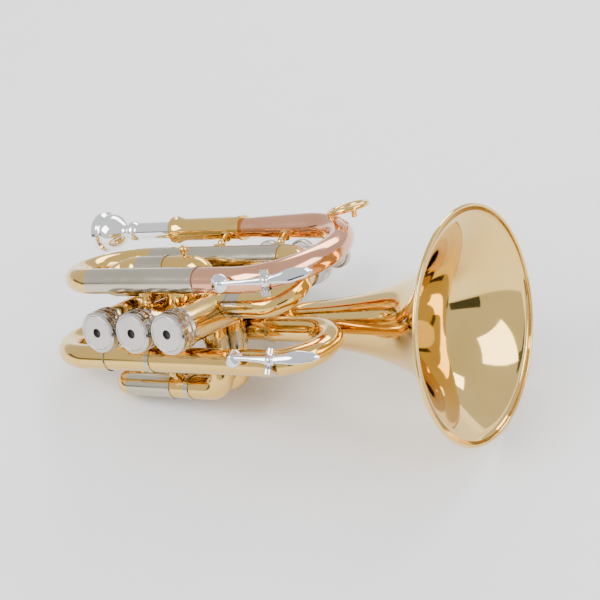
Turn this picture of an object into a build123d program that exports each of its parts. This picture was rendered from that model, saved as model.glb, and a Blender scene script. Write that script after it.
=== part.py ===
"""Pocket cornet in B flat, lying on its left side as it is put down on a table.

Every piece is drawn in the instrument's own axes, in millimetres: +X runs along the bell towards its
mouth, +Y runs along the valves from the bottom caps to the finger buttons, and +Z points to the
player's right. The origin there is the middle of the second valve's bottom cap. When the pieces are
written they are all set down together: the bell's rim and the slide loops touch the plane z = 0.
"""
import os
from math import atan2, cos, degrees, hypot, log, pi, radians, sin, sqrt

from build123d import *

# ---------------------------------------------------------------- driving dimensions, valves
valve_pitch = 22.0            # distance from one valve to the next
casing_radius = 9.2           # outside of the valve casing
casing_wall = 0.75
piston_fit = 0.05             # radial clearance of the piston in its casing
valve_travel = 16.0           # how far a button goes down
casing_foot = 3.0             # lower end of the casing, inside the bottom cap
casing_head = 120.0           # upper end of the casing, inside the top cap
bottom_cap_radius = 10.0
bottom_cap_height = 11.0
bottom_cap_floor = 1.6
bottom_cap_hole = 2.3
top_cap_radius = 10.2
top_cap_skirt = 9.0           # how far the top cap reaches down over the casing
top_cap_gap = 2.0             # room between the casing's head and the cap's ceiling
top_cap_roof = 2.0
piston_foot = 21.0            # lower end of the piston when the valve is up
stem_radius = 3.0
stem_fit = 0.08
felt_thickness = 1.4
felt_gap = 0.3                # air between a felt and the cap it stops against
button_radius = 8.3
button_height = 3.4
button_round = 0.8
pearl_radius = 6.4
port_radius = 4.7             # bore of the short passages between casings and tubes
bridge_radius = 5.2           # outside of the passages between two casings

# ---------------------------------------------------------------- driving dimensions, tubing
tube_radius = 6.2             # outside of the main tubing and of the tuning slide's sleeves
tube_wall = 0.45
slide_fit = 0.05              # radial clearance of an inner slide leg in its sleeve
slide_radius = 5.7            # outside of the valve slides' sleeves and crooks
leg_wall = 0.4
ring_stand = 0.5              # how far a ring ferrule stands above its tube
tube_gap = 0.8                # clear space where two tubes pass each other

leadpipe_y, leadpipe_z = 80.0, 30.5
leadpipe_start_radius = 4.9
receiver_radius = 5.8
receiver_collar_radius = 7.0
receiver_back, receiver_front = -32.0, 14.0
mouthpiece_back = -82.5       # the rim's plane
mouthpiece_radius = 10.8
mouthpiece_cup_radius = 8.0
mouthpiece_insertion = 24.0
shank_radius = 4.5
shank_fit = 0.05

tuning_near_y, tuning_near_z = 15.0, 21.5
tuning_far_y, tuning_far_z = 62.0, 19.5
tuning_crook_x = -33.0        # where the tuning slide's crook starts
tuning_sleeve_back = -28.0
tuning_near_front = 34.0
tuning_far_front = 47.5
tuning_leg_front = 12.0
leadpipe_bend_x = 54.0

front_bend_x = valve_pitch + 28.0  # the bend from the tuning slide into the third valve
entry_y = 36.0
entry_radius = 5.7

second_slide_y, second_slide_z = 46.0, 19.7     # the leg farther from the caps
second_near_y, second_near_z = 28.0, 16.0
second_sleeve_front, second_sleeve_back = -11.0, -22.0
second_crook_x = -28.5
second_lean = 45.0            # degrees that the second slide's ports lean towards the bell
second_elbow_radius = 5.9

first_slide_near_y, first_slide_far_y = 66.0, 88.0
first_sleeve_front, first_sleeve_back = -valve_pitch - 11.0, -valve_pitch - 23.0
first_crook_x = -valve_pitch - 28.0

third_slide_z = -38.0
third_bend_radius = 7.0       # half the distance between the third slide's legs
third_elbow_radius = 8.5
third_sleeve_front, third_sleeve_back = -10.0, -25.5
third_crook_x = -38.0

bell_radius = 54.9
bell_x, bell_y = 139.7, 78.0
bell_throat = 45.0            # these two set how suddenly the flare opens
bell_power = 1.75
bell_wall = 0.5
bell_bead = 0.9
rear_bow_x = -52.5
lower_tube_z = -19.5
front_bow_x = 60.0
exit_z = -15.7
lower_joint = -8.0            # where the lower tube is joined, under its ring

# ---------------------------------------------------------------- driving dimensions, fittings
post_radius = 1.5
flange_radius = 3.0
flange_thickness = 0.9
key_seat_radius = 2.6         # outside of the nipple that a water key closes
key_seat_height = 1.6
key_cap_radius = 4.3
key_cap_depth = 2.6
key_cork_radius = 3.4
key_cork_depth = 1.6
key_arm_radius = 1.3
key_pivot_height = 3.6        # from the tube's surface to the screw
key_axle_radius = 1.0
key_barrel_radius = 2.1
key_barrel_half = 2.4
key_spring_room = 2.0
key_cheek = 1.3
key_fit = 0.06
key_gap = 0.25                # air beside the lever's barrel
hook_wire = 1.4
hook_radius = 9.0
hook_tilt = 8.0

# ---------------------------------------------------------------- worked out from the above
valve_x = [-valve_pitch, 0.0, valve_pitch]
piston_radius = casing_radius - casing_wall - piston_fit
cap_ceiling = casing_head + top_cap_gap
cap_top = cap_ceiling + top_cap_roof
piston_head = cap_ceiling - felt_gap - felt_thickness
button_under = cap_top + valve_travel + felt_thickness + felt_gap
sleeve_bore = tube_radius - tube_wall
entry_z = casing_radius - entry_radius - 0.1
flare_tail = (bell_throat / (bell_x - rear_bow_x + bell_throat)) ** bell_power


def flare(back):
    """Outer radius of the bell at a distance behind its mouth."""
    share = ((bell_throat / (back + bell_throat)) ** bell_power - flare_tail) / (1 - flare_tail)
    return tube_radius + (bell_radius - tube_radius) * share


# The tubes beside the valves are stacked from the bell downwards, each clear of the next.
bell_z = -(casing_radius + flare(bell_x - valve_x[2]) + 0.4)
exit_y = bell_y - flare(bell_x - front_bow_x) - tube_radius - 0.4
third_far_y = exit_y - 2 * slide_radius - tube_gap
third_near_y = third_far_y - 2 * third_bend_radius
lower_tube_y = third_near_y - slide_radius - tube_radius - tube_gap
X, Y, Z = Vector(1, 0, 0), Vector(0, 1, 0), Vector(0, 0, 1)
nodes = {}


def at(x, y, z):
    """A point in the instrument's axes."""
    return Vector(x, y, z)


def rod(start, end, radius):
    """Solid round bar between two points."""
    axis = end - start
    return extrude(Plane(origin=start, z_dir=axis) * Circle(radius), axis.length)


def pipe(path, outer, inner):
    """Tube along a path of straight runs and tangent arcs."""
    plane = Plane(origin=path @ 0, z_dir=path % 0)
    return sweep(plane * (Circle(outer) - Circle(inner)), path=path)


def straight(start, end, outer, inner):
    """Straight tube between two points."""
    return rod(start, end, outer) - rod(start, end, inner)


def half_turn(start, end, out):
    """Half circle from start to end, bulging along the direction out."""
    middle = (start + end) * 0.5
    return ThreePointArc(start, middle + out * ((end - start).length / 2), end)


def ring(centre, along, radius, width):
    """Ring ferrule of the given width round a tube of the given radius."""
    half = along * (width / 2)
    return straight(centre - half, centre + half, radius + ring_stand, radius)


def ferrule(centre, along, radius, length):
    """Thin sleeve with a raised ring at each end, as used where two tubes are joined."""
    reach = along * (length / 2 - 0.8)
    band = straight(centre - reach, centre + reach, radius + 0.25, radius)
    return band + ring(centre - reach, along, radius, 1.6) + ring(centre + reach, along, radius, 1.6)


def casing_core(x):
    """Solid of a casing's outside, used to shape what is soldered to it."""
    return rod(at(x, 0, 0), at(x, casing_head, 0), casing_radius)


def brace(start, start_core, end, end_core, start_radius, end_radius):
    """Brace post with a flange at each end, shaped to the two pieces that it joins."""
    axis = (end - start).normalized()
    post = rod(start, end, post_radius)
    foot = rod(start, start + axis * (start_radius + flange_thickness), flange_radius)
    head = rod(end - axis * (end_radius + flange_thickness), end, flange_radius)
    waist = Sphere(post_radius + 0.6).locate(Location((start + end) * 0.5))
    return (post + foot + head + waist) - start_core - end_core


def keep(name, shape):
    """Register a finished piece under its node name."""
    nodes[name] = shape


# ---------------------------------------------------------------- ports of the valves
# Each port is (height on the casing, sideways start, outward direction, belongs to a slide).
lean = Vector(sin(radians(second_lean)), 0, cos(radians(second_lean)))
bridge_y = [64.0, 70.0]       # passages from the third casing to the second, and on to the first
ports = [
    [(bridge_y[1], 0, X, False), (exit_y, 0, Z * -1, False),
     (first_slide_near_y, 0, X * -1, True), (first_slide_far_y, 0, X * -1, True)],
    [(bridge_y[0], 0, X, False), (bridge_y[1], 0, X * -1, False),
     (second_near_y, 0, lean, True), (second_slide_y, 0, lean, True)],
    [(entry_y, entry_z, X, False), (bridge_y[0], 0, X * -1, False),
     (third_near_y, 0, Z * -1, True), (third_far_y, 0, Z * -1, True)],
]


def valve_pieces(number, x):
    """One complete valve: casing, caps, piston, stem, felts, button, pearl and spring."""
    shell = straight(at(x, casing_foot, 0), at(x, casing_head, 0), casing_radius, casing_radius - casing_wall)
    piston = rod(at(x, piston_foot, 0), at(x, piston_head, 0), piston_radius)
    for height, side, out, of_slide in ports[number - 1]:
        middle = at(x, height, side)
        shell -= rod(middle, middle + out * (casing_radius + 2), port_radius)
        lift = Y * (valve_travel if of_slide else 0)
        passage = middle + lift + out * (piston_radius - 6.0)
        piston -= rod(passage, passage + out * 8.0, port_radius - 0.1)
    keep(f"valve_casing_{number}", shell)

    spring_seat = rod(at(x, piston_foot, 0), at(x, piston_foot + 2.0, 0), 6.6)
    light_well = rod(at(x, piston_head - 9, 0), at(x, piston_head - 2.4, 0), 6.4)
    keep(f"piston_{number}", piston - spring_seat - light_well - rod(
        at(x, piston_head - 3, 0), at(x, piston_head, 0), stem_radius))

    cap = rod(at(x, 0, 0), at(x, bottom_cap_height, 0), bottom_cap_radius)
    cap = chamfer(cap.edges().group_by(Axis.Y)[0], 0.8)
    cap -= rod(at(x, bottom_cap_floor, 0), at(x, bottom_cap_height, 0), casing_radius)
    cap -= rod(at(x, 0, 0), at(x, bottom_cap_floor, 0), bottom_cap_hole)
    groove = straight(at(x, 2.2, 0), at(x, 2.7, 0), bottom_cap_radius + 1, bottom_cap_radius - 0.3)
    keep(f"bottom_cap_{number}", cap - groove)

    skirt = casing_head - top_cap_skirt
    lid = rod(at(x, skirt, 0), at(x, cap_top, 0), top_cap_radius)
    lid = chamfer(lid.edges().group_by(Axis.Y)[-1], 0.8)
    lid -= rod(at(x, skirt, 0), at(x, casing_head, 0), casing_radius)
    lid -= rod(at(x, casing_head, 0), at(x, cap_ceiling, 0), casing_radius - casing_wall)
    keep(f"top_cap_{number}", lid - rod(at(x, cap_ceiling, 0), at(x, cap_top, 0), stem_radius + stem_fit))

    keep(f"valve_stem_{number}", rod(at(x, piston_head - 3, 0), at(x, button_under + 1.2, 0), stem_radius))
    upper = straight(at(x, piston_head, 0), at(x, piston_head + felt_thickness, 0), piston_radius - 1.2, stem_radius)
    lower = straight(at(x, button_under - felt_thickness, 0), at(x, button_under, 0),
                     button_radius - 1.6, stem_radius)
    keep(f"valve_felts_{number}", Compound([upper, lower]))

    button_top = button_under + button_height
    button = rod(at(x, button_under, 0), at(x, button_top, 0), button_radius)
    button = fillet(button.edges(), button_round)
    button -= rod(at(x, button_under, 0), at(x, button_under + 1.2, 0), stem_radius)
    keep(f"finger_button_{number}",
         button - rod(at(x, button_top - 1.4, 0), at(x, button_top, 0), pearl_radius))
    keep(f"button_pearl_{number}", rod(at(x, button_top - 1.4, 0), at(x, button_top + 0.2, 0), pearl_radius))

    wire = 0.45
    low, high = bottom_cap_floor + wire + 0.02, piston_foot + 2.0 - wire - 0.02
    coil = Helix(pitch=(high - low) / 6, height=high - low, radius=5.6)
    profile = Plane(origin=coil @ 0, z_dir=coil % 0) * Circle(wire)
    keep(f"valve_spring_{number}", Location((x, low, 0), (-90, 0, 0)) * sweep(profile, path=coil, is_frenet=True))


for index, place in enumerate(valve_x):
    valve_pieces(index + 1, place)

bridges = []
for gap in range(2):
    left, right = valve_x[1 - gap], valve_x[2 - gap]
    height = bridge_y[gap]
    passage = straight(at(left, height, 0), at(right, height, 0), bridge_radius, port_radius)
    bridges.append(passage - casing_core(left) - casing_core(right))
keep("casing_bridges", Compound(bridges))

# ---------------------------------------------------------------- mouthpiece and leadpipe
cup_end, bead_start, bead_end = 17.5, 19.5, 25.5
shank_end = receiver_back - mouthpiece_back + mouthpiece_insertion
throat = 1.85
with BuildPart() as mouthpiece_build:
    with BuildSketch(Plane.XY):
        with BuildLine():
            rim_inner = (0.0, mouthpiece_cup_radius + 0.9)
            rim_outer = (0.9, mouthpiece_radius)
            ThreePointArc(rim_inner, (-0.3, (mouthpiece_cup_radius + mouthpiece_radius) / 2 + 0.5), rim_outer)
            Polyline(rim_outer, (3.4, mouthpiece_radius), (4.4, mouthpiece_radius - 1.3))
            Spline((4.4, mouthpiece_radius - 1.3), (8.5, mouthpiece_radius - 1.2), (13.0, 7.4),
                   (cup_end, shank_radius - 0.6), (bead_start, shank_radius - 0.6))
            ThreePointArc((bead_start, shank_radius - 0.6), ((bead_start + bead_end) / 2, shank_radius + 0.9),
                          (bead_end, shank_radius - 0.5))
            Polyline((bead_end, shank_radius - 0.5), (bead_end + 1.5, shank_radius), (shank_end, shank_radius),
                     (shank_end, shank_radius - 0.8), (cup_end, throat))
            Spline((cup_end, throat), (10.5, mouthpiece_cup_radius - 2.6), (5.0, mouthpiece_cup_radius - 0.5),
                   (1.2, mouthpiece_cup_radius))
            ThreePointArc((1.2, mouthpiece_cup_radius), (0.35, mouthpiece_cup_radius + 0.3), rim_inner)
        make_face()
    revolve(axis=Axis.X)
keep("mouthpiece", Location((mouthpiece_back, leadpipe_y, leadpipe_z)) * mouthpiece_build.part)

receiver_bore = shank_radius + shank_fit
pipe_end = mouthpiece_back + shank_end + 1.0
with BuildPart() as receiver_build:
    with BuildSketch(Plane.XY):
        with BuildLine():
            back, front = receiver_back, receiver_front
            Polyline((back, receiver_bore), (back, receiver_collar_radius - 0.8), (back + 0.8, receiver_collar_radius),
                     (back + 3.5, receiver_collar_radius))
            Spline((back + 3.5, receiver_collar_radius), (back + 6, receiver_radius + 0.4),
                   (back + 9, receiver_radius))
            Polyline((back + 9, receiver_radius), (front - 2.2, receiver_radius),
                     (front - 2.2, receiver_radius + ring_stand), (front, receiver_radius + ring_stand),
                     (front, leadpipe_start_radius), (pipe_end, leadpipe_start_radius),
                     (pipe_end, receiver_bore), (back, receiver_bore))
        make_face()
    revolve(axis=Axis.X)
keep("mouthpiece_receiver", Location((0, leadpipe_y, leadpipe_z)) * receiver_build.part)


def leadpipe_solid(thickness):
    """Solid of the leadpipe inside its wall by the given thickness, from receiver to tuning slide."""
    far_bend = at(leadpipe_bend_x, leadpipe_y, leadpipe_z)
    near_bend = at(leadpipe_bend_x, tuning_near_y, tuning_near_z)
    front = at(receiver_front, leadpipe_y, leadpipe_z)
    taper = loft([Plane(origin=front, z_dir=X) * Circle(leadpipe_start_radius - thickness),
                  Plane(origin=far_bend, z_dir=X) * Circle(tube_radius - thickness)])
    turn = half_turn(far_bend, near_bend, X)
    crook = sweep(Plane(origin=far_bend, z_dir=X) * Circle(tube_radius - thickness), path=turn)
    return (rod(at(pipe_end, leadpipe_y, leadpipe_z), front, leadpipe_start_radius - thickness) + taper + crook
            + rod(at(tuning_near_front, tuning_near_y, tuning_near_z), near_bend, tube_radius - thickness))


leadpipe_core = leadpipe_solid(0)
keep("leadpipe", leadpipe_core - leadpipe_solid(tube_wall))

# ---------------------------------------------------------------- main tuning slide and front bend
near_front = at(tuning_near_front, tuning_near_y, tuning_near_z)
far_front = at(tuning_far_front, tuning_far_y, tuning_far_z)
keep("tuning_sleeve_near", straight(
    at(tuning_sleeve_back, tuning_near_y, tuning_near_z), near_front, tube_radius, sleeve_bore))
keep("tuning_sleeve_far", straight(
    at(tuning_sleeve_back, tuning_far_y, tuning_far_z), far_front, tube_radius, sleeve_bore))


def slide_leg(y, z, crook_x, joint_x, front_x, outer):
    """Inner slide leg with the collar that butts against the crook and the sleeve's mouth."""
    inner_radius = outer - tube_wall - slide_fit
    leg = rod(at(joint_x, y, z), at(front_x, y, z), inner_radius)
    collar = rod(at(crook_x, y, z), at(joint_x, y, z), outer)
    return leg + collar - rod(at(crook_x, y, z), at(front_x, y, z), inner_radius - leg_wall)


def slide_crook(crook_x, near, far, outer):
    """Bow that joins the two legs of a slide behind them."""
    return pipe(half_turn(at(crook_x, *near), at(crook_x, *far), X * -1), outer, outer - tube_wall)


tuning_near, tuning_far = (tuning_near_y, tuning_near_z), (tuning_far_y, tuning_far_z)
keep("tuning_slide_legs", Compound([
    slide_leg(*leg, tuning_crook_x, tuning_sleeve_back, tuning_leg_front, tube_radius)
    for leg in (tuning_near, tuning_far)]))
keep("tuning_slide_crook", slide_crook(tuning_crook_x, tuning_near, tuning_far, tube_radius))

bend_start = at(front_bend_x, tuning_far_y, tuning_far_z)
bend_end = at(front_bend_x, entry_y, entry_z)
neck = at(front_bend_x - 6, entry_y, entry_z)
front_bend = straight(far_front, bend_start, tube_radius, sleeve_bore)
front_bend += pipe(half_turn(bend_start, bend_end, X), tube_radius, sleeve_bore)
front_bend += straight(neck, bend_end, tube_radius, sleeve_bore)
front_bend += straight(neck - X * 3, neck + X, tube_radius, port_radius)
front_bend += straight(at(valve_x[2], entry_y, entry_z), neck - X * 3, entry_radius, port_radius)
keep("front_bend", front_bend - casing_core(valve_x[2]))

# ---------------------------------------------------------------- valve slides
slide_bore = slide_radius - tube_wall
knuckles, sleeves = [], []


def add_sleeve(y, z, back, front):
    """Outer sleeve of a valve slide, open to the rear."""
    sleeves.append(straight(at(back, y, z), at(front, y, z), slide_radius, slide_bore))


def add_slide(name, legs, crook_x, back, front):
    """Sliding legs and crook of one valve slide."""
    keep(f"{name}_legs", Compound([
        slide_leg(*leg, crook_x, back, front - 0.5, slide_radius) for leg in legs]))
    keep(f"{name}_crook", slide_crook(crook_x, *legs, slide_radius))


first_legs = [(first_slide_near_y, 0.0), (first_slide_far_y, 0.0)]
for y, z in first_legs:
    knuckle = straight(at(first_sleeve_front, y, z), at(valve_x[0], y, z), slide_radius, port_radius)
    knuckles.append(knuckle - casing_core(valve_x[0]))
    add_sleeve(y, z, first_sleeve_back, first_sleeve_front)
add_slide("first_slide", first_legs, first_crook_x, first_sleeve_back, first_sleeve_front)

second_legs = [(second_near_y, second_near_z), (second_slide_y, second_slide_z)]
for y, z in second_legs:
    rise = (z - second_elbow_radius * (1 + sin(radians(second_lean)))) / cos(radians(second_lean))
    start = Y * y + lean * rise
    centre = start + Vector(-cos(radians(second_lean)), 0, sin(radians(second_lean))) * second_elbow_radius
    spread = radians(90 - second_lean) / 2
    side = centre + Vector(cos(spread), 0, sin(spread)) * second_elbow_radius
    crown = centre + Z * second_elbow_radius
    elbow = pipe(ThreePointArc(start, side, crown), slide_radius, port_radius)
    run = straight(crown, at(second_sleeve_front, y, z), slide_radius, port_radius)
    shoulder = straight(Y * y, start, slide_radius, port_radius)
    knuckles.append(shoulder + elbow + run - casing_core(valve_x[1]))
    add_sleeve(y, z, second_sleeve_back, second_sleeve_front)
add_slide("second_slide", second_legs, second_crook_x, second_sleeve_back, second_sleeve_front)
second_crown = crown

third_legs = [(third_near_y, third_slide_z), (third_far_y, third_slide_z)]
for y, z in third_legs:
    path = FilletPolyline(at(valve_x[2], y, 0), at(valve_x[2], y, z), at(third_sleeve_front, y, z),
                          radius=third_elbow_radius)
    knuckles.append(pipe(path, slide_radius, port_radius) - casing_core(valve_x[2]))
    add_sleeve(y, z, third_sleeve_back, third_sleeve_front)
add_slide("third_slide", third_legs, third_crook_x, third_sleeve_back, third_sleeve_front)
keep("slide_knuckles", Compound(knuckles))
keep("slide_sleeves", Compound(sleeves))

# ---------------------------------------------------------------- bell, bows and exit tube
bell_length = bell_x - rear_bow_x


def flare_inside(back):
    """Point of the bell's inner face, one wall inside the outer face at that distance."""
    slope = (flare(back - 0.1) - flare(back + 0.1)) / 0.2
    step = bell_wall / sqrt(1 + slope * slope)
    return (-back + step * slope, flare(back) - step)


stations = [0, 2, 5, 10, 17, 27, 42, 62, 90, 130, bell_length]
outside = [(-back, flare(back)) for back in stations]
inside = [flare_inside(back) for back in stations[1:-1]]
mouth_inside = (-0.05, bell_radius - 1.2)
tail_inside = (-bell_length, sleeve_bore)
with BuildPart() as bell_build:
    with BuildSketch(Plane.XY):
        with BuildLine():
            Spline(*outside)
            Line(outside[-1], tail_inside)
            Spline(tail_inside, *reversed(inside), mouth_inside)
            Line(mouth_inside, outside[0])
        make_face()
    revolve(axis=Axis.X)
    with BuildSketch(Plane.XY):
        with Locations((-bell_bead, bell_radius)):
            Circle(bell_bead)
    revolve(axis=Axis.X)
keep("bell", Location((bell_x, bell_y, bell_z)) * bell_build.part)

joint = at(lower_joint, lower_tube_y, lower_tube_z)
rear_end = at(rear_bow_x, lower_tube_y, lower_tube_z)
bow_start = at(front_bow_x, lower_tube_y, lower_tube_z)
bow_end = at(front_bow_x, exit_y, exit_z)
exit_joint = at(valve_x[2] + 14, exit_y, exit_z)
keep("rear_bow", pipe(half_turn(at(rear_bow_x, bell_y, bell_z), rear_end, X * -1), tube_radius, sleeve_bore))
keep("lower_tube", straight(rear_end, joint, tube_radius, sleeve_bore))
front_bow = straight(joint, bow_start, tube_radius, sleeve_bore)
front_bow += pipe(half_turn(bow_start, bow_end, X), tube_radius, sleeve_bore)
keep("front_bow", front_bow + straight(exit_joint, bow_end, tube_radius, sleeve_bore))
exit_path = FilletPolyline(at(valve_x[0], exit_y, 0), at(valve_x[0], exit_y, exit_z), exit_joint, radius=6.2)
keep("exit_tube", pipe(exit_path, slide_radius, port_radius) - casing_core(valve_x[0]))

# ---------------------------------------------------------------- ring ferrules
rings = [
    ferrule(at(valve_x[2] + casing_radius + 5.0, entry_y, entry_z), X, entry_radius, 9.4),
    ring(at(tuning_far_front, *tuning_far), X, tube_radius, 2.0),
    ring(at(tuning_near_front, *tuning_near), X, tube_radius, 1.2),
    ring(joint, X, tube_radius, 2.6),
    ring(rear_end + X * 16, X, tube_radius, 0.8),
    ring(exit_joint + X * 0.9, X, tube_radius, 1.8),
]
for y, z in third_legs:
    rings += [ferrule(at(valve_x[2], y, -16.0), Z, slide_radius, 8.5),
              ring(at(1.6, y, z), X, slide_radius, 2.6),
              ring(at(third_sleeve_front, y, z), X, slide_radius, 1.6)]
for y, z in second_legs:
    rings.append(ring(at(second_sleeve_front, y, z), X, slide_radius, 1.2))
for y, z in first_legs:
    rings.append(ring(at(first_sleeve_front, y, z), X, slide_radius, 1.2))
keep("ring_ferrules", Compound(rings))

# ---------------------------------------------------------------- braces, finger hook
def along_x(y, z, radius):
    """Solid of a long straight tube's outside."""
    return rod(at(-60, y, z), at(60, y, z), radius)


posts = []
for x, radius in ((5.0, receiver_radius), (42.0, tube_radius)):
    pipe_core = leadpipe_core if x > receiver_front else along_x(leadpipe_y, leadpipe_z, radius)
    posts.append(brace(at(x, leadpipe_y, leadpipe_z), pipe_core, at(x, *tuning_far), along_x(*tuning_far, tube_radius),
                       radius, tube_radius))
posts.append(brace(at(0, *tuning_near), along_x(*tuning_near, tube_radius), at(0, tuning_near_y, 0), casing_core(0),
                   tube_radius, casing_radius))
posts.append(brace(at(-3.3, lower_tube_y, lower_tube_z), along_x(lower_tube_y, lower_tube_z, tube_radius),
                   at(-3.3, *third_legs[0]), along_x(*third_legs[0], slide_radius), tube_radius, slide_radius))
far_crown = second_crown - X * 4.0
posts.append(brace(far_crown, along_x(second_slide_y, second_slide_z, slide_radius),
                   at(far_crown.X, *tuning_far), along_x(*tuning_far, tube_radius), slide_radius, tube_radius))
knob_foot = rod(far_crown, far_crown + Z * (slide_radius + 2.4), 1.2)
knob = Sphere(2.3).locate(Location(far_crown + Z * (slide_radius + 3.2)))
posts.append(knob_foot + knob - along_x(second_slide_y, second_slide_z, slide_radius))
keep("braces", Compound(posts))

hook_centre = at(leadpipe_bend_x + 26, leadpipe_y - 3, leadpipe_z + tube_radius + hook_wire + 1.0)
hook = Location(hook_centre, (0, -hook_tilt, 0)) * Torus(hook_radius, hook_wire)
for turned in (-150.0, 110.0):
    foot_top = Location(hook_centre, (0, -hook_tilt, 0)) * Location(
        (hook_radius * cos(radians(turned)), hook_radius * sin(radians(turned)), 0))
    foot = rod(foot_top.position, foot_top.position - Z * 6.0, hook_wire)
    hook = hook + (foot - leadpipe_core)
keep("finger_hook", hook)

# ---------------------------------------------------------------- water keys
def bow_point(near, far, angle, stand_off, tilt):
    """Point outside a forward bow, at an angle round it from its near end."""
    middle, radius = (near + far) * 0.5, (far - near).length / 2
    inward = (far - near).normalized()
    out = X * sin(radians(angle)) - inward * cos(radians(angle))
    raised = out * cos(radians(tilt)) + Z * sin(radians(tilt))
    return middle + out * radius + raised * stand_off


def water_key(name, seat, away, pivot, tip, tube):
    """Water key: nipple, cork, lever, screw, spring and the saddle soldered to the tube.

    The lever runs from the seat to the pivot and on to the finger tip; the screw is square to it.
    """
    along = (pivot - seat).normalized()
    axle = along.cross(away).normalized()
    lift = axle.cross(along).normalized()
    nipple = rod(seat - lift * 9, seat, key_seat_radius) - tube
    nipple -= rod(seat - lift * 9, seat, key_seat_radius - 1.0)
    cork = rod(seat, seat + lift * key_cork_depth, key_cork_radius)

    cap = rod(seat + lift * 0.5, seat + lift * key_cap_depth, key_cap_radius)
    peak = loft([Plane(origin=seat + lift * key_cap_depth, z_dir=lift) * Circle(key_cap_radius),
                 Plane(origin=seat + lift * (key_cap_depth + 1.9), z_dir=lift) * Circle(0.7)])
    arm = rod(seat + lift * (key_cap_depth - 0.8), pivot, key_arm_radius)
    barrel = rod(pivot - axle * key_barrel_half, pivot + axle * key_barrel_half, key_barrel_radius)
    reach = tip - pivot
    blade_plane = Plane(origin=pivot, x_dir=reach, z_dir=reach.cross(axle))
    long = reach.length
    outline = Polygon((0, -1.5), (long * 0.3, -2.0), (long - 4.5, -3.0), (long - 4.5, 3.0), (long * 0.3, 2.0),
                      (0, 1.5), align=None) + Pos(long - 4.5, 0) * Circle(3.0)
    blade = extrude(blade_plane * outline, 0.8, both=True)
    lever = (cap + peak + arm + barrel + blade) - cork
    lever -= rod(pivot - axle * 9, pivot + axle * 9, key_axle_radius + key_fit)

    foot = bow_foot[name]
    down = (foot - pivot)
    cheeks = []
    for start, side in ((key_barrel_half + key_spring_room, 1), (key_barrel_half + key_gap, -1)):
        origin = pivot + axle * (side * start)
        plane = Plane(origin=origin, x_dir=down, z_dir=axle * side)
        plate = Pos(down.length / 2, 0) * Rectangle(down.length, 2 * key_barrel_radius) + Circle(key_barrel_radius)
        cheeks.append(extrude(plane * plate, key_cheek) - tube - rod(pivot - axle * 9, pivot + axle * 9, key_axle_radius))
    outer = key_barrel_half + key_spring_room + key_cheek
    inner = key_barrel_half + key_gap + key_cheek
    screw = rod(pivot - axle * (inner + 1.2), pivot + axle * outer, key_axle_radius)
    screw += rod(pivot - axle * (inner + 1.2), pivot - axle * inner, key_axle_radius + 0.9)
    screw += rod(pivot + axle * outer, pivot + axle * (outer + 1.0), key_axle_radius + 0.9)

    turns = key_spring_room - 0.6
    coil = Helix(pitch=turns / 3, height=turns, radius=key_axle_radius + 0.6)
    strand = sweep(Plane(origin=coil @ 0, z_dir=coil % 0) * Circle(0.2), path=coil, is_frenet=True)
    spring = Location(Plane(origin=pivot + axle * (key_barrel_half + 0.3), z_dir=axle)) * strand
    keep(f"{name}_key_lever", lever)
    keep(f"{name}_key_cork", cork)
    return Compound(cheeks), screw, nipple, spring, pivot, axle


lower_near, lower_far = bow_start, bow_end
upper_near, upper_far = at(leadpipe_bend_x, *tuning_near), at(leadpipe_bend_x, leadpipe_y, leadpipe_z)
lower_core = rod(joint, bow_start, tube_radius) + sweep(
    Plane(origin=bow_start, z_dir=X) * Circle(tube_radius), path=half_turn(bow_start, bow_end, X))
bow_foot = {"upper": bow_point(upper_near, upper_far, 30.0, 0, 0), "lower": bow_point(lower_near, lower_far, 17.0, 0, 0)}
key_parts = []
for name, near, far, seat_back, turned, tip_turned, tip_stand, tilt, core in (
        ("upper", upper_near, upper_far, -3.0, 30.0, 58.0, 6.4, 8.0, leadpipe_core),
        ("lower", lower_near, lower_far, 11.5, 17.0, 60.0, 7.4, 30.0, lower_core)):
    away = Y * -cos(radians(tilt)) + Z * sin(radians(tilt))
    seat = near - X * max(seat_back, 0.0) + away * (tube_radius + key_seat_height)
    pivot = bow_point(near, far, turned, tube_radius + key_pivot_height, tilt)
    tip = bow_point(near, far, tip_turned, tube_radius + tip_stand, tilt / 3)
    key_parts.append(water_key(name, seat, away, pivot, tip, core))
keep("key_saddles", Compound([cheek for parts in key_parts for cheek in parts[0].solids()]))
keep("key_screws", Compound([parts[1] for parts in key_parts]))
keep("key_nipples", Compound([parts[2] for parts in key_parts]))
keep("key_springs", Compound([parts[3] for parts in key_parts]))

# ---------------------------------------------------------------- set down and write
def lowest_round(centre, axis, radius, edge, up):
    """Lowest point of a round rim of the given edge radius, for a given upward direction."""
    flat = up - axis * up.dot(axis)
    return centre - flat.normalized() * radius - up * edge


def upward():
    """Upward direction of the instrument lying on its bell, third slide and first button."""
    up = Vector(0.2, -0.3, 0.9).normalized()
    third_middle = at(third_crook_x, (third_near_y + third_far_y) / 2, third_slide_z)
    first_button = at(valve_x[0], button_under + button_height - button_round, 0)
    for _ in range(40):
        bell_foot = lowest_round(at(bell_x - bell_bead, bell_y, bell_z), X, bell_radius, bell_bead, up)
        slide_foot = lowest_round(third_middle, Z, third_bend_radius, slide_radius, up)
        button_foot = lowest_round(first_button, Y, button_radius - button_round, button_round, up)
        up = (bell_foot - slide_foot).cross(button_foot - slide_foot).normalized()
    return up


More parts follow.
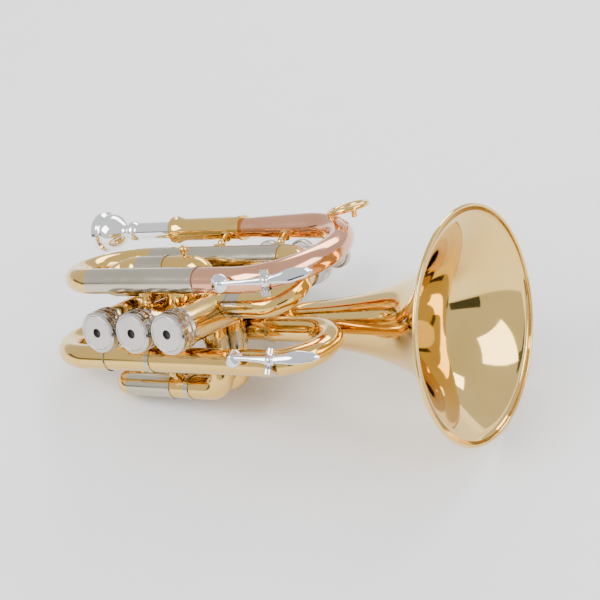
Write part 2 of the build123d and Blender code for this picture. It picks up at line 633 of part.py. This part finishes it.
up = upward()
pitch = atan2(up.X, up.Z)
roll = atan2(up.Y, hypot(up.X, up.Z))
rest = Location((0, 0, 0), (degrees(roll), 0, 0)) * Location((0, 0, 0), (0, -degrees(pitch), 0))
boxes = [(rest * shape).bounding_box() for shape in nodes.values()]
low_x, high_x = min(box.min.X for box in boxes), max(box.max.X for box in boxes)
low_y, high_y = min(box.min.Y for box in boxes), max(box.max.Y for box in boxes)
settle = Location((-(low_x + high_x) / 2, -(low_y + high_y) / 2, -min(box.min.Z for box in boxes)))
placed = settle * rest

os.makedirs("parts", exist_ok=True)
for name, shape in nodes.items():
    export_step(placed * shape, f"parts/{name}.step")
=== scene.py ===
"""Looks of the pocket cornet: finishes for every part, knurled caps, and a small white studio.

The parts themselves come from the frame and are never moved. Lengths are in metres and the axes are
the frame's: +Z is up from the table and the bell opens towards +X.
"""
from __future__ import annotations

import logging
import math
from dataclasses import dataclass, field
from enum import Enum

import bmesh
import bpy
from mathutils import Matrix, Vector

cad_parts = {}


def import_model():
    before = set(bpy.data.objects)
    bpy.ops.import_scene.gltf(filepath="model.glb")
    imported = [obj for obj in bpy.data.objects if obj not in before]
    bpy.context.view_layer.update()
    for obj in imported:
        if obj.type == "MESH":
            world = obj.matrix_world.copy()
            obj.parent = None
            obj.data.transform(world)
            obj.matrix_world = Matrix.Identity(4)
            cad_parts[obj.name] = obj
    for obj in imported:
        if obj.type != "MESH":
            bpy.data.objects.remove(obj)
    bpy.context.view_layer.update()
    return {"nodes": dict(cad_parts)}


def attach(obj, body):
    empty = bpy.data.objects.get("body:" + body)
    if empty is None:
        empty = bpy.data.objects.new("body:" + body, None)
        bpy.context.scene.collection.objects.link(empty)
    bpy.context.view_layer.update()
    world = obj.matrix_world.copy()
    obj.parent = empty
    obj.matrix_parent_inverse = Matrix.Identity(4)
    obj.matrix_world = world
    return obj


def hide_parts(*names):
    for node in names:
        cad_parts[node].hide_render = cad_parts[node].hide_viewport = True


LOG = logging.getLogger("pocket_cornet")
ROOT = "instrument"

# The instrument's own axes in the frame: along the bell, along the valves, and to the player's right.
BELL_AXIS = Vector((0.9666194, 0.0957414, 0.2376562))
VALVE_AXIS = Vector((0.0, 0.9275601, -0.3736740))
RIGHT_AXIS = Vector((-0.2562165, 0.3612005, 0.8965976))
ORIGIN = Vector((-0.031732, -0.067006, 0.066906))
VALVE_PITCH = 0.022


def placed(x: float, y: float, z: float) -> Vector:
    """Point of the instrument in the frame.

    Args:
        x: Metres along the bell axis from the middle valve.
        y: Metres along the valves from the faces of the bottom caps.
        z: Metres towards the player's right.

    Returns:
        The same point in the frame's axes.
    """
    return ORIGIN + BELL_AXIS * x + VALVE_AXIS * y + RIGHT_AXIS * z


class Slot(Enum):
    """Material slot names kept on added pieces; nothing in the script uses them."""

    NICKEL_PLATE = "nickel_plate"
    LACQUERED_BRASS = "lacquered_brass"


@dataclass(frozen=True)
class Finish:
    """One procedural finish.

    Attributes:
        name: Name of the material.
        color: Linear base colour.
        tint: Second linear colour, mixed in slowly over the surface.
        roughness: Mean roughness.
        metallic: 1 for metals and 0 for the rest.
        coat: Weight of a clear coat, such as lacquer.
        grain: Scale of the fine surface noise, in cycles per metre.
        bump: Height of the fine surface noise, in metres.
        sheen: Weight of the fibres' sheen.
    """

    name: str
    color: tuple[float, float, float]
    tint: tuple[float, float, float]
    roughness: float
    metallic: float = 1.0
    coat: float = 0.0
    grain: float = 900.0
    bump: float = 0.0
    sheen: float = 0.0

    def build(self) -> bpy.types.Material:
        """Make the node material.

        Returns:
            The finished material.
        """
        material = bpy.data.materials.new(self.name)
        material.use_nodes = True
        tree = material.node_tree
        shader = tree.nodes["Principled BSDF"]
        shader.inputs["Metallic"].default_value = self.metallic
        shader.inputs["Coat Weight"].default_value = self.coat
        shader.inputs["Coat Roughness"].default_value = 0.04
        shader.inputs["Sheen Weight"].default_value = self.sheen
        place = tree.nodes.new("ShaderNodeTexCoord")
        self._colour(tree, shader, place)
        self._roughness(tree, shader, place)
        if self.bump:
            self._bump(tree, shader, place)
        return material

    def _noise(self, tree: bpy.types.NodeTree, place: bpy.types.Node, scale: float,
               detail: float) -> bpy.types.Node:
        """Add a noise texture in the object's own axes.

        Args:
            tree: Node tree of the material.
            place: Texture coordinate node.
            scale: Cycles per metre.
            detail: Octaves of the noise.

        Returns:
            The noise node.
        """
        noise = tree.nodes.new("ShaderNodeTexNoise")
        noise.inputs["Scale"].default_value = scale
        noise.inputs["Detail"].default_value = detail
        tree.links.new(place.outputs["Object"], noise.inputs["Vector"])
        return noise

    def _colour(self, tree: bpy.types.NodeTree, shader: bpy.types.Node, place: bpy.types.Node) -> None:
        """Blend the two colours slowly over the surface.

        Args:
            tree: Node tree of the material.
            shader: Principled shader.
            place: Texture coordinate node.
        """
        ramp = tree.nodes.new("ShaderNodeValToRGB")
        ramp.color_ramp.elements[0].color = (*self.color, 1.0)
        ramp.color_ramp.elements[0].position = 0.38
        ramp.color_ramp.elements[1].color = (*self.tint, 1.0)
        ramp.color_ramp.elements[1].position = 0.72
        tree.links.new(self._noise(tree, place, 38.0, 3.0).outputs["Fac"], ramp.inputs["Fac"])
        tree.links.new(ramp.outputs["Color"], shader.inputs["Base Color"])

    def _roughness(self, tree: bpy.types.NodeTree, shader: bpy.types.Node, place: bpy.types.Node) -> None:
        """Vary the roughness a little, as handling and polishing leave it.

        Args:
            tree: Node tree of the material.
            shader: Principled shader.
            place: Texture coordinate node.
        """
        spread = tree.nodes.new("ShaderNodeMapRange")
        spread.inputs["From Min"].default_value = 0.3
        spread.inputs["From Max"].default_value = 0.7
        spread.inputs["To Min"].default_value = self.roughness * 0.8
        spread.inputs["To Max"].default_value = min(1.0, self.roughness * 1.3)
        tree.links.new(self._noise(tree, place, 160.0, 4.0).outputs["Fac"], spread.inputs["Value"])
        tree.links.new(spread.outputs["Result"], shader.inputs["Roughness"])

    def _bump(self, tree: bpy.types.NodeTree, shader: bpy.types.Node, place: bpy.types.Node) -> None:
        """Raise the fine surface noise.

        Args:
            tree: Node tree of the material.
            shader: Principled shader.
            place: Texture coordinate node.
        """
        bump = tree.nodes.new("ShaderNodeBump")
        bump.inputs["Distance"].default_value = self.bump
        bump.inputs["Strength"].default_value = 1.0
        tree.links.new(self._noise(tree, place, self.grain, 5.0).outputs["Fac"], bump.inputs["Height"])
        tree.links.new(bump.outputs["Normal"], shader.inputs["Normal"])


LACQUERED_BRASS = Finish("lacquered_brass", (0.80, 0.52, 0.145), (0.73, 0.46, 0.11), 0.085, coat=0.25)
BELL_BRASS = Finish("bell_brass", (0.82, 0.56, 0.18), (0.76, 0.50, 0.14), 0.06, coat=0.2)
ROSE_BRASS = Finish("rose_brass", (0.76, 0.38, 0.23), (0.69, 0.32, 0.18), 0.12, coat=0.2)
NICKEL_SILVER = Finish("nickel_silver", (0.53, 0.48, 0.37), (0.48, 0.43, 0.32), 0.16, bump=0.000004)
SILVER_PLATE = Finish("silver_plate", (0.90, 0.90, 0.89), (0.86, 0.86, 0.85), 0.07)
NICKEL_PLATE = Finish("nickel_plate", (0.58, 0.54, 0.50), (0.52, 0.48, 0.44), 0.14)
CHROME = Finish("bright_chrome", (0.80, 0.80, 0.81), (0.75, 0.75, 0.76), 0.05)
PISTON_METAL = Finish("piston_metal", (0.55, 0.54, 0.51), (0.50, 0.49, 0.46), 0.28, bump=0.000006)
SPRING_STEEL = Finish("spring_steel", (0.42, 0.43, 0.45), (0.36, 0.37, 0.39), 0.3)
PEARL = Finish("pearl", (0.86, 0.85, 0.80), (0.74, 0.76, 0.74), 0.12, metallic=0.0, coat=0.6)
FELT = Finish("felt", (0.78, 0.75, 0.68), (0.68, 0.65, 0.58), 0.95, metallic=0.0, bump=0.00012,
              sheen=0.6, grain=2400.0)
CORK = Finish("cork", (0.50, 0.32, 0.17), (0.36, 0.21, 0.10), 0.9, metallic=0.0, bump=0.0001, grain=1500.0)
# Near-black finish of the vent discs: painted shade for the dark holes in the bottom caps.
SHADE = Finish("painted_bore_shade", (0.012, 0.010, 0.008), (0.02, 0.016, 0.012), 0.6, metallic=0.0)

# The rim's wire: how much of its full thickness is skinned, degrees each way round it, and steps in all.
RIM_FIT = 0.99
RIM_TURN = 150
RIM_STEPS = 10

NODE_FINISHES: tuple[tuple[tuple[str, ...], Finish], ...] = (
    (("bell",), BELL_BRASS),
    (("mouthpiece_receiver", "valve_casing", "casing_bridges", "tuning_slide_crook", "front_bend",
      "first_slide_crook", "second_slide_crook", "third_slide_crook", "slide_knuckles", "rear_bow",
      "lower_tube", "front_bow", "exit_tube", "braces", "finger_hook"), LACQUERED_BRASS),
    (("leadpipe",), ROSE_BRASS),
    (("mouthpiece",), SILVER_PLATE),
    (("tuning_sleeve", "tuning_slide_legs", "first_slide_legs", "second_slide_legs", "third_slide_legs",
      "slide_sleeves", "ring_ferrules"), NICKEL_SILVER),
    (("bottom_cap", "top_cap", "valve_stem", "finger_button", "key_nipples"), NICKEL_PLATE),
    (("upper_key_lever", "lower_key_lever", "key_screws", "key_saddles"), CHROME),
    (("upper_key_cork", "lower_key_cork"), CORK),
    (("piston",), PISTON_METAL),
    (("valve_spring", "key_springs"), SPRING_STEEL),
    (("button_pearl",), PEARL),
    (("valve_felts",), FELT),
)


@dataclass
class Finishes:
    """Keeps one material for each finish and puts them on the parts."""

    made: dict[str, bpy.types.Material] = field(default_factory=dict)

    def get(self, finish: Finish) -> bpy.types.Material:
        """Return the material of a finish, making it the first time.

        Args:
            finish: The finish wanted.

        Returns:
            Its material.
        """
        if finish.name not in self.made:
            self.made[finish.name] = finish.build()
        return self.made[finish.name]

    def finish_for(self, node: str) -> Finish:
        """Find the finish of a part by its name.

        Args:
            node: Name of the part.

        Returns:
            The finish of the longest matching name.
        """
        fits = [(len(stem), finish) for stems, finish in NODE_FINISHES for stem in stems
                if node.startswith(stem)]
        return max(fits, key=lambda pair: pair[0])[1]

    def dress(self, nodes: dict[str, bpy.types.Object]) -> None:
        """Put the finishes on every part.

        Args:
            nodes: The frame's parts by name.
        """
        for name, part in nodes.items():
            part.data.materials.clear()
            part.data.materials.append(self.get(self.finish_for(name)))


@dataclass
class Piece:
    """A mesh piece of the instrument that is added to the frame's parts."""

    name: str
    finish: Finish
    slot: Slot
    body: str = ROOT

    def publish(self, mesh: bmesh.types.BMesh, finishes: Finishes, smooth: bool = True) -> bpy.types.Object:
        """Turn the mesh into an object that rides with its body.

        Args:
            mesh: Geometry in the frame's axes. It is freed.
            finishes: Store of materials.
            smooth: Whether faces are shaded smooth.

        Returns:
            The new object.
        """
        bmesh.ops.recalc_face_normals(mesh, faces=mesh.faces)
        data = bpy.data.meshes.new(self.name)
        for face in mesh.faces:
            face.smooth = smooth
        mesh.to_mesh(data)
        mesh.free()
        data.materials.append(finishes.get(self.finish))
        item = bpy.data.objects.new(self.name, data)
        bpy.context.scene.collection.objects.link(item)
        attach(item, self.body)
        return item


def turned(centre: Vector, axis: Vector) -> Matrix:
    """Matrix that carries a shape drawn about +Z to a place and axis.

    Args:
        centre: Place of the shape's origin.
        axis: Direction that +Z takes.

    Returns:
        The rigid matrix.
    """
    return Matrix.Translation(centre) @ axis.to_track_quat("Z", "Y").to_matrix().to_4x4()


@dataclass
class LatheBand(Piece):
    """Closed ring made by turning an outline, with optional teeth round its outside.

    Attributes:
        centre: Middle of the band's first end.
        axis: Direction of the band.
        outline: Closed outline as (radius, distance along the axis) pairs, in metres.
        teeth: Number of knurls, or 0 for a smooth ring.
        depth: Depth of the knurls.
        segments: Steps round a smooth ring.
    """

    centre: Vector = field(default_factory=Vector)
    axis: Vector = field(default_factory=lambda: Vector((0, 0, 1)))
    outline: tuple[tuple[float, float], ...] = ()
    teeth: int = 0
    depth: float = 0.0
    segments: int = 96

    def build(self, finishes: Finishes) -> bpy.types.Object:
        """Make the band.

        Args:
            finishes: Store of materials.

        Returns:
            The band's object.
        """
        steps = self.teeth * 2 if self.teeth else self.segments
        outer = max(radius for radius, _ in self.outline)
        mesh = bmesh.new()
        rows: list[list[bmesh.types.BMVert]] = []
        matrix = turned(self.centre, self.axis)
        for step in range(steps):
            angle = math.tau * step / steps
            row = []
            for radius, height in self.outline:
                cut = self.depth if self.teeth and step % 2 and radius > outer - 1e-6 else 0.0
                spot = Vector(((radius - cut) * math.cos(angle), (radius - cut) * math.sin(angle), height))
                row.append(mesh.verts.new(matrix @ spot))
            rows.append(row)
        count = len(self.outline)
        for step in range(steps):
            near, far = rows[step], rows[(step + 1) % steps]
            for index in range(count):
                after = (index + 1) % count
                mesh.faces.new((near[index], far[index], far[after], near[after]))
        return self.publish(mesh, finishes, smooth=not self.teeth)


@dataclass
class ValveTrim:
    """Knurled bands of one valve's caps and a near-black disc behind its vent, which paints the shade of the
    dark hole.

    Attributes:
        number: Which valve, from 1.
        finishes: Store of materials.
    """

    number: int
    finishes: Finishes

    def build(self) -> None:
        """Make the trim of this valve."""
        x = VALVE_PITCH * (self.number - 2)
        knurl = ((0.00990, 0.0), (0.01022, 0.0003), (0.01022, 0.0021), (0.00990, 0.0024))
        for part, height in (("lower", 0.0040), ("upper", 0.0072)):
            LatheBand(f"bottom_cap_knurl_{part}_{self.number}", NICKEL_PLATE, Slot.NICKEL_PLATE,
                      centre=placed(x, height, 0), axis=VALVE_AXIS, outline=knurl, teeth=110,
                      depth=0.00022).build(self.finishes)
        top = ((0.01010, 0.0), (0.01045, 0.0004), (0.01045, 0.0034), (0.01010, 0.0038))
        LatheBand(f"top_cap_knurl_{self.number}", NICKEL_PLATE, Slot.NICKEL_PLATE,
                  centre=placed(x, 0.1165, 0), axis=VALVE_AXIS, outline=top, teeth=110,
                  depth=0.00025).build(self.finishes)
        rim = ((0.00800, 0.0), (0.00815, -0.00018), (0.00850, -0.00018), (0.00865, 0.0), (0.00850, 0.0001),
               (0.00815, 0.0001))
        LatheBand(f"bottom_cap_rim_{self.number}", NICKEL_PLATE, Slot.NICKEL_PLATE, centre=placed(x, 0.0, 0),
                  axis=VALVE_AXIS, outline=rim).build(self.finishes)
        # Near-black disc just inside the vent: painted shade for the dark hole.
        shade_disc = ((0.00002, 0.0), (0.00450, 0.0), (0.00450, 0.0002), (0.00002, 0.0002))
        LatheBand(f"vent_painted_shade_{self.number}", SHADE, Slot.NICKEL_PLATE, centre=placed(x, 0.00165, 0),
                  axis=VALVE_AXIS, outline=shade_disc, segments=48).build(self.finishes)


@dataclass
class Bell(Piece):
    """Smooth spun bell with its rolled rim, in place of the frame's faceted one.

    Attributes:
        length: From the mouth to the rear bow.
        mouth: Radius at the mouth.
        tail: Radius where it meets the rear bow.
        throat: Offset of the flare's law.
        power: Exponent of the flare's law.
        wall: Thickness of the sheet.
        bead: Radius of the rim's wire.
    """

    length: float = 0.1922
    mouth: float = 0.0549
    tail: float = 0.0062
    throat: float = 0.045
    power: float = 1.75
    wall: float = 0.0005
    bead: float = 0.0009

    def flare(self, back: float) -> float:
        """Outer radius at a distance behind the mouth.

        Args:
            back: Distance behind the mouth.

        Returns:
            The radius.
        """
        end = (self.throat / (self.length + self.throat)) ** self.power
        share = ((self.throat / (back + self.throat)) ** self.power - end) / (1 - end)
        return self.tail + (self.mouth - self.tail) * share

    def inner(self, back: float) -> tuple[float, float]:
        """Point of the inner face under a point of the outer face.

        Args:
            back: Distance of the outer point behind the mouth.

        Returns:
            Radius and distance behind the mouth of the inner point.
        """
        slope = (self.flare(back - 1e-4) - self.flare(back + 1e-4)) / 2e-4
        step = self.wall / math.sqrt(1 + slope * slope)
        return self.flare(back) - step, back - step * slope

    def build(self, finishes: Finishes) -> bpy.types.Object:
        """Make the bell and let it stand for the frame's part.

        Args:
            finishes: Store of materials.

        Returns:
            The bell's object.
        """
        count = 72
        backs = [self.length * (step / count) ** 1.8 for step in range(count + 1)]
        outside = [(self.flare(back), -back) for back in backs if back > self.bead * 1.9]
        inside = [(radius, -back) for radius, back in map(self.inner, backs[6:])]
        inside[-1] = (self.tail - self.wall, -self.length)
        wire = self.bead * RIM_FIT
        rim = []
        for step in range(RIM_STEPS + 1):
            angle = math.radians(RIM_TURN * (2 * step / RIM_STEPS - 1))
            rim.append((self.mouth + wire * math.cos(angle), -self.bead + wire * math.sin(angle)))
        outline = tuple(inside[::-1] + sorted(rim, key=self._turn) + outside)
        mesh_piece = LatheBand(self.name, self.finish, self.slot, centre=placed(0.1397, 0.078, -0.01842444),
                               axis=BELL_AXIS, outline=outline, segments=240)
        item = mesh_piece.build(finishes)
        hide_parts("bell")
        return item

    def _turn(self, point: tuple[float, float]) -> float:
        """Order of a point round the rim's wire, from the inner face to the outer.

        Args:
            point: Radius and distance along the axis.

        Returns:
            Angle round the wire's middle, from 0 at the back.
        """
        angle = math.atan2(point[0] - self.mouth, -(point[1] + self.bead))
        return -((angle - 0.5) % math.tau)


@dataclass
class KeyLever(Piece):
    """Water key's lever: peaked cap, arm, barrel round the screw, and a leaf-shaped paddle.

    Attributes:
        seat: Middle of the nipple's mouth, in the instrument's axes.
        pivot: Middle of the screw.
        tip: End of the paddle.
        away: Direction from the tube to the cap.
        stands_for: The frame's part that it replaces.
    """

    seat: tuple[float, float, float] = (0.0, 0.0, 0.0)
    pivot: tuple[float, float, float] = (0.0, 0.0, 0.0)
    tip: tuple[float, float, float] = (0.0, 0.0, 0.0)
    away: tuple[float, float, float] = (0.0, 0.0, 0.0)
    stands_for: str = ""

    def build(self, finishes: Finishes) -> bpy.types.Object:
        """Make the lever and let it stand for the frame's part.

        Args:
            finishes: Store of materials.

        Returns:
            The lever's object.
        """
        seat, pivot, tip = placed(*self.seat), placed(*self.pivot), placed(*self.tip)
        away = placed(*self.away) - ORIGIN
        along = (pivot - seat).normalized()
        axle = along.cross(away).normalized()
        lift = axle.cross(along).normalized()
        mesh = bmesh.new()
        self._turned(mesh, seat, lift, ((0.0035, 0.0005), (0.0043, 0.0005), (0.0043, 0.0024), (0.0039, 0.0029),
                                        (0.0014, 0.0045), (0.0010, 0.0050), (0.0, 0.0052), (0.0, 0.0017),
                                        (0.0035, 0.0017)))
        self._turned(mesh, pivot - axle * 0.0024, axle, ((0.00107, 0.0), (0.0021, 0.0), (0.0021, 0.0048),
                                                         (0.00107, 0.0048)))
        middle = (seat + pivot) * 0.5
        arm = (seat + lift * 0.0034, middle + lift * 0.0026 - along * 0.003,
               middle + lift * 0.0016 + along * 0.004, pivot - along * 0.0016 + lift * 0.0003)
        self._loft(mesh, arm, axle, ((0.0012, 0.0009), (0.0012, 0.0009), (0.0014, 0.0009), (0.0020, 0.0012)))
        reach = tip - pivot
        blade = (pivot + reach.normalized() * 0.0016, pivot + reach * 0.25 + lift * 0.0010,
                 pivot + reach * 0.55 + lift * 0.0019, pivot + reach * 0.85 + lift * 0.0012, tip)
        self._loft(mesh, blade, axle, ((0.0019, 0.0012), (0.0022, 0.0010), (0.0032, 0.0009), (0.0024, 0.0007),
                                       (0.0006, 0.0004)))
        item = self.publish(mesh, finishes)
        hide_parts(self.stands_for)
        return item

    def _turned(self, mesh: bmesh.types.BMesh, centre: Vector, axis: Vector,
                outline: tuple[tuple[float, float], ...]) -> None:
        """Add a turned solid.

        Args:
            mesh: Mesh to add to.
            centre: Origin of the outline.
            axis: Axis of turning.
            outline: Closed outline as (radius, distance) pairs.
        """
        steps, matrix = 40, turned(centre, axis)
        rows = [[mesh.verts.new(matrix @ Vector((radius * math.cos(math.tau * step / steps),
                                                 radius * math.sin(math.tau * step / steps), height)))
                 for radius, height in outline] for step in range(steps)]
        for step in range(steps):
            near, far = rows[step], rows[(step + 1) % steps]
            for index in range(len(outline)):
                after = (index + 1) % len(outline)
                if outline[index][0] or outline[after][0]:
                    mesh.faces.new((near[index], far[index], far[after], near[after]))
        bmesh.ops.remove_doubles(mesh, verts=[vert for row in rows for vert in row], dist=1e-7)

    def _loft(self, mesh: bmesh.types.BMesh, path: tuple[Vector, ...], side: Vector,
              halves: tuple[tuple[float, float], ...]) -> None:
        """Add a rounded bar along a smooth path.

        Args:
            mesh: Mesh to add to.
            path: Points that the bar passes through.
            side: Direction of its width.
            halves: Half width and half thickness at each point.
        """
        steps, around = 8, 24
        rows = []
        for index in range(len(path) - 1):
            last = index == len(path) - 2
            for step in range(steps + (1 if last else 0)):
                share = step / steps
                ease = share * share * (3 - 2 * share)
                before, after = path[max(index - 1, 0)], path[min(index + 2, len(path) - 1)]
                spot = self._between(before, path[index], path[index + 1], after, share)
                ahead = self._between(before, path[index], path[index + 1], after, share + 0.01) - spot
                thick = side.cross(ahead).normalized()
                wide = halves[index][0] * (1 - ease) + halves[index + 1][0] * ease
                deep = halves[index][1] * (1 - ease) + halves[index + 1][1] * ease
                rows.append([mesh.verts.new(spot + side * (wide * math.cos(math.tau * turn / around))
                                            + thick * (deep * math.sin(math.tau * turn / around)))
                             for turn in range(around)])
        for near, far in zip(rows, rows[1:]):
            for turn in range(around):
                after = (turn + 1) % around
                mesh.faces.new((near[turn], near[after], far[after], far[turn]))
        mesh.faces.new(rows[0][::-1])
        mesh.faces.new(rows[-1])

    @staticmethod
    def _between(before: Vector, start: Vector, end: Vector, after: Vector, share: float) -> Vector:
        """Point of a smooth curve through the given points.

        Args:
            before: Point before the stretch.
            start: Start of the stretch.
            end: End of the stretch.
            after: Point after the stretch.
            share: Place in the stretch, from 0 to 1.

        Returns:
            The point.
        """
        lean, turn = (end - before) * 0.5, (after - start) * 0.5
        two, three = share * share, share * share * share
        return (start * (2 * three - 3 * two + 1) + lean * (three - 2 * two + share)
                + end * (3 * two - 2 * three) + turn * (three - two))


@dataclass
class Studio:
    """White table, soft lights, dark cards for the reflections, and the camera."""

    def camera(self) -> None:
        """Place the camera."""
        data = bpy.data.cameras.new("camera")
        data.sensor_width, data.lens = 36.0, 84.0
        data.clip_start, data.clip_end = 0.01, 20.0
        right = Vector((0.82528, 0.53948, -0.16694))
        upward = Vector((-0.24839, 0.61226, 0.75063))
        back = Vector((0.50716, -0.57801, 0.63929))
        item = bpy.data.objects.new("camera", data)
        item.matrix_world = Matrix.Translation((0.36099, -0.39255, 0.48360)) @ Matrix(
            (right, upward, back)).transposed().to_4x4()
        bpy.context.scene.collection.objects.link(item)
        bpy.context.scene.camera = item

    def light(self, name: str, place: tuple[float, float, float], size: tuple[float, float],
              power: float) -> None:
        """Add a soft rectangular light that faces the instrument.

        Args:
            name: Name of the light.
            place: Its place.
            size: Its width and height.
            power: Its power in watts.
        """
        data = bpy.data.lights.new(name, "AREA")
        data.shape, data.size, data.size_y, data.energy = "RECTANGLE", *size, power
        item = bpy.data.objects.new(name, data)
        item.location = place
        item.rotation_euler = (Vector((0.02, 0, 0.05)) - Vector(place)).to_track_quat("-Z", "Y").to_euler()
        bpy.context.scene.collection.objects.link(item)

    def card(self, name: str, place: tuple[float, float, float], size: tuple[float, float],
             color: tuple[float, float, float]) -> None:
        """Add a flat card that shows only in reflections.

        Args:
            name: Name of the card.
            place: Its middle.
            size: Its width and height.
            color: Its colour.
        """
        mesh = bmesh.new()
        bmesh.ops.create_grid(mesh, x_segments=1, y_segments=1, size=0.5)
        facing = Vector((0.03, 0, 0.05)) - Vector(place)
        matrix = turned(Vector(place), facing) @ Matrix.Diagonal((*size, 1, 1))
        bmesh.ops.transform(mesh, matrix=matrix, verts=mesh.verts)
        data = bpy.data.meshes.new(name)
        mesh.to_mesh(data)
        mesh.free()
        data.materials.append(Finish(name, color, color, 0.9, metallic=0.0).build())
        item = bpy.data.objects.new(name, data)
        item.visible_camera = False
        item.visible_shadow = False
        bpy.context.scene.collection.objects.link(item)

    def floor(self) -> None:
        """Add the white table."""
        mesh = bmesh.new()
        bmesh.ops.create_grid(mesh, x_segments=1, y_segments=1, size=4.0)
        data = bpy.data.meshes.new("table_top")
        mesh.to_mesh(data)
        mesh.free()
        table = Finish("table_white", (0.93, 0.93, 0.93), (0.92, 0.92, 0.92), 0.7, metallic=0.0)
        data.materials.append(table.build())
        item = bpy.data.objects.new("table_top", data)
        bpy.context.scene.collection.objects.link(item)

    def world(self) -> None:
        """Set the pale surroundings."""
        world = bpy.data.worlds.new("pale_room")
        world.use_nodes = True
        world.node_tree.nodes["Background"].inputs["Color"].default_value = (0.95, 0.96, 1.0, 1.0)
        world.node_tree.nodes["Background"].inputs["Strength"].default_value = 1.0
        bpy.context.scene.world = world

    def build(self) -> None:
        """Set up everything round the instrument."""
        self.floor()
        self.world()
        self.light("key_light", (-0.5, -0.9, 1.1), (0.9, 0.9), 22.0)
        self.light("fill_light", (1.2, 0.1, 0.9), (0.8, 0.8), 12.0)
        self.light("back_light", (-0.2, 1.1, 0.8), (1.2, 0.5), 14.0)
        self.card("dark_card_front", (0.75, -0.75, 0.16), (0.5, 0.26), (0.03, 0.035, 0.03))
        self.card("dark_card_side", (0.9, 0.35, 0.18), (0.16, 0.35), (0.04, 0.05, 0.04))
        self.card("dark_card_rear", (-0.7, -0.45, 0.10), (0.5, 0.12), (0.10, 0.09, 0.07))


def main() -> None:
    logging.basicConfig(level=logging.INFO, format="%(name)s: %(message)s")
    studio = Studio()
    studio.camera()
    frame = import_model()
    finishes = Finishes()
    finishes.dress(frame["nodes"])
    for number in (1, 2, 3):
        ValveTrim(number, finishes).build()
    Bell("bell_spun", BELL_BRASS, Slot.LACQUERED_BRASS).build(finishes)
    KeyLever("upper_lever", CHROME, Slot.NICKEL_PLATE, "upper_water_key", seat=(0.054, 0.00727591, 0.0225856),
             pivot=(0.0752573, 0.0110291, 0.0223141), tip=(0.0924983, 0.0236709, 0.0232868),
             away=(0.0, -0.990268, 0.139173), stands_for="upper_key_lever").build(finishes)
    KeyLever("lower_lever", CHROME, Slot.NICKEL_PLATE, "lower_water_key", seat=(0.0485, 0.0136996, -0.0156),
             pivot=(0.0681951, 0.0132267, -0.0153061), tip=(0.0885234, 0.0235146, -0.0168395),
             away=(0.0, -0.866025, 0.5), stands_for="lower_key_lever").build(finishes)
    studio.build()
    LOG.info("%d parts dressed, %d finishes", len(frame["nodes"]), len(finishes.made))


if __name__ == "__main__":
    main()
